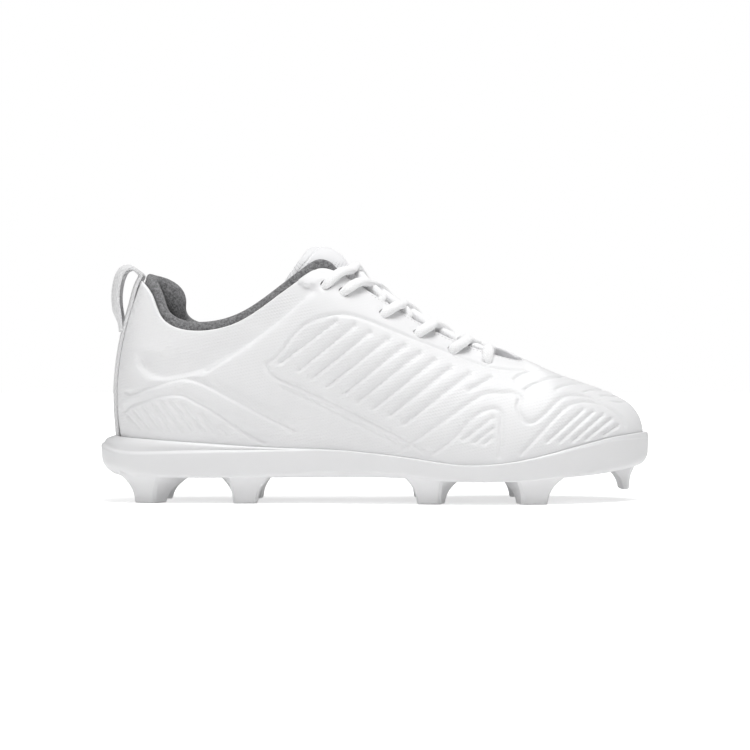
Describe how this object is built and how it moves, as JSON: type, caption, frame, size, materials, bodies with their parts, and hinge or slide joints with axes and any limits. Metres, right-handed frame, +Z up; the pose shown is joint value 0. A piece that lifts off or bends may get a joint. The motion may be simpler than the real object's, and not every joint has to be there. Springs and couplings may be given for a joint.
{
  "type": "baseball cleat",
  "caption": "Low right baseball cleat: hollow moulded upper, padded collar, criss-cross laces and heel loop on a cup sole with moulded studs.",
  "frame": {"origin": "middle of the bounding box on the floor, under the studs", "axes": "+X from heel to toe, +Y to the inner side of the right foot, +Z up"},
  "size_m": [0.2448, 0.0892, 0.1137],
  "materials": {
    "outsole": "moulded white studded sole, satin",
    "upper": "white synthetic with moulded panels, matt",
    "insole": "dark knit sock liner",
    "collar_lining": "heathered grey knit over foam",
    "tongue": "white padded mesh",
    "laces": "white oval woven cord",
    "pull_loop": "white woven webbing"
  },
  "bodies": {
    "root": {"outsole": "outsole", "upper": "upper", "insole": "insole", "collar_lining": "collar_lining", "tongue": "tongue", "lace": "laces", "pull_loop": "pull_loop"}
  },
  "joints": []
}
